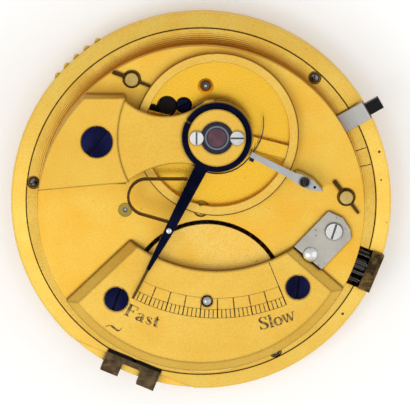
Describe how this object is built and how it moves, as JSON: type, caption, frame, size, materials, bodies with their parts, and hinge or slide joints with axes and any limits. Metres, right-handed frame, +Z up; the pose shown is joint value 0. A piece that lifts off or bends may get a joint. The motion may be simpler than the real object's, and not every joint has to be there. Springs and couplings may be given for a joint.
{
  "type": "pocket watch movement",
  "caption": "Round gilt pocket watch movement with balance, cock, regulator over a graduated barrel bridge, going train, winding work, case hinge joint and bolt.",
  "frame": {"origin": "on the centre arbor's axis, in the plane of the brass edge's rim that the movement lies on", "axes": "+Z up out of the back of the movement, +Y from the centre towards the balance side, at the top of the picture"},
  "size_m": [0.042, 0.0422, 0.015],
  "materials": {
    "gilt_brass": "fine matt gilding",
    "bright_steel": "polished",
    "blued_steel": "blued, polished",
    "dark_bronze": "tarnished dark brown",
    "ruby": "polished stone"
  },
  "bodies": {
    "frame": {"brass_edge": "gilt_brass", "pillar_plate": "gilt_brass", "top_plate": "gilt_brass", "barrel_bridge": "gilt_brass", "pillars": "gilt_brass", "pillar_pins": "gilt_brass", "balance_cock": "gilt_brass", "potence": "gilt_brass", "third_bush": "gilt_brass", "banking_pins": "gilt_brass", "edge_screws": "bright_steel", "endstone_setting": "bright_steel", "endstone_screws": "bright_steel", "stud_arm": "bright_steel", "stud_arm_screw": "bright_steel", "escape_cock": "bright_steel", "winding_bridge": "bright_steel", "crown_stud": "bright_steel", "shoulder_screws": "bright_steel", "bridge_screws": "blued_steel", "cock_screw": "blued_steel", "balance_stud": "blued_steel", "balance_spring": "blued_steel", "escape_cock_screw": "blued_steel", "click_spring": "blued_steel", "bolt_spring": "blued_steel", "hinge_joint": "dark_bronze", "winding_sleeve": "dark_bronze", "endstone": "ruby", "balance_jewels": "ruby", "pallet_jewel": "ruby"},
    "barrel": {"barrel_drum": "gilt_brass", "barrel_cap": "gilt_brass", "mainspring": "blued_steel"},
    "winding_arbor": {"barrel_arbor": "bright_steel", "ratchet_wheel": "bright_steel"},
    "click": {"click": "bright_steel"},
    "crown": {"crown_wheel": "bright_steel"},
    "winder": {"winding_pinion": "bright_steel"},
    "centre": {"centre_arbor": "bright_steel", "centre_wheel": "gilt_brass", "cannon_pinion": "bright_steel"},
    "minute": {"minute_wheel": "gilt_brass"},
    "hour": {"hour_wheel": "gilt_brass"},
    "third": {"third_arbor": "bright_steel", "third_wheel": "gilt_brass"},
    "fourth": {"fourth_arbor": "bright_steel", "fourth_wheel": "gilt_brass"},
    "escape": {"escape_arbor": "bright_steel", "escape_wheel": "gilt_brass"},
    "lever": {"lever": "bright_steel", "pallet_stones": "ruby", "pallet_arbor": "bright_steel"},
    "balance": {"balance_wheel": "gilt_brass", "balance_staff": "bright_steel", "roller": "bright_steel"},
    "regulator": {"regulator": "blued_steel", "pointer": "dark_bronze", "compensation_curb": "gilt_brass"},
    "bolt": {"case_bolt": "bright_steel"}
  },
  "joints": [
    {"name": "fourth_turn", "type": "hinge", "parent": "frame", "child": "fourth", "pos_m": [-0.00818, 0.00782, 0.005], "axis": [0, 0, 1], "continuous": true},
    {"name": "escape_turn", "type": "hinge", "parent": "frame", "child": "escape", "pos_m": [-0.00371, 0.01129, 0.005], "axis": [0, 0, 1], "continuous": true},
    {"name": "third_turn", "type": "hinge", "parent": "frame", "child": "third", "pos_m": [-0.0083, -0.00013, 0.005], "axis": [0, 0, 1], "continuous": true},
    {"name": "centre_turn", "type": "hinge", "parent": "frame", "child": "centre", "pos_m": [0, 0, 0.005], "axis": [0, 0, 1], "continuous": true},
    {"name": "barrel_turn", "type": "hinge", "parent": "frame", "child": "barrel", "pos_m": [0.00065, -0.01005, 0.005], "axis": [0, 0, 1], "continuous": true},
    {"name": "minute_turn", "type": "hinge", "parent": "frame", "child": "minute", "pos_m": [-0.00083, 0.00473, 0.005], "axis": [0, 0, 1], "continuous": true},
    {"name": "hour_turn", "type": "hinge", "parent": "frame", "child": "hour", "pos_m": [0, 0, 0.005], "axis": [0, 0, 1], "continuous": true},
    {"name": "winding_turn", "type": "hinge", "parent": "frame", "child": "winding_arbor", "pos_m": [0.00065, -0.01005, 0.005], "axis": [0, 0, 1], "continuous": true},
    {"name": "crown_turn", "type": "hinge", "parent": "frame", "child": "crown", "pos_m": [0.01196, -0.00495, 0.005], "axis": [0, 0, 1], "continuous": true},
    {"name": "winder_turn", "type": "hinge", "parent": "frame", "child": "winder", "pos_m": [0.01755, -0.00727, 0.0042], "axis": [0.9239, -0.3827, 0], "continuous": true},
    {"name": "click_swing", "type": "hinge", "parent": "frame", "child": "click", "pos_m": [-0.00784, -0.00515, 0.005], "axis": [0, 0, 1], "range_deg": [-12, 0], "stiffness_Nm_per_rad": 0.00002, "deforming": ["click_spring"]},
    {"name": "lever_swing", "type": "hinge", "parent": "frame", "child": "lever", "pos_m": [0.00051, 0.01347, 0.005], "axis": [0, 0, 1], "range_deg": [-4, 4]},
    {"name": "balance_swing", "type": "hinge", "parent": "frame", "child": "balance", "pos_m": [0.00172, 0.00836, 0.005], "axis": [0, 0, 1], "range_deg": [-150, 150], "stiffness_Nm_per_rad": 0.0000031, "deforming": ["balance_spring"]},
    {"name": "regulator_turn", "type": "hinge", "parent": "frame", "child": "regulator", "pos_m": [0.00172, 0.00836, 0.005], "axis": [0, 0, 1], "range_deg": [0, 49]},
    {"name": "bolt_slide", "type": "slide", "parent": "frame", "child": "bolt", "axis": [-0.8704, -0.4924, 0], "range_m": [0, 0.0008], "stiffness_N_per_m": 150, "deforming": ["bolt_spring"]}
  ],
  "couplings": [
    {"joint": "escape_turn", "follows": "fourth_turn", "ratio": -8},
    {"joint": "third_turn", "follows": "fourth_turn", "ratio": -0.13333},
    {"joint": "centre_turn", "follows": "fourth_turn", "ratio": 0.016667},
    {"joint": "barrel_turn", "follows": "fourth_turn", "ratio": -0.0028571},
    {"joint": "minute_turn", "follows": "fourth_turn", "ratio": -0.0055556},
    {"joint": "hour_turn", "follows": "fourth_turn", "ratio": 0.0013889},
    {"joint": "crown_turn", "follows": "winding_turn", "ratio": -1.4375},
    {"joint": "winder_turn", "follows": "winding_turn", "ratio": -4.025}
  ]
}
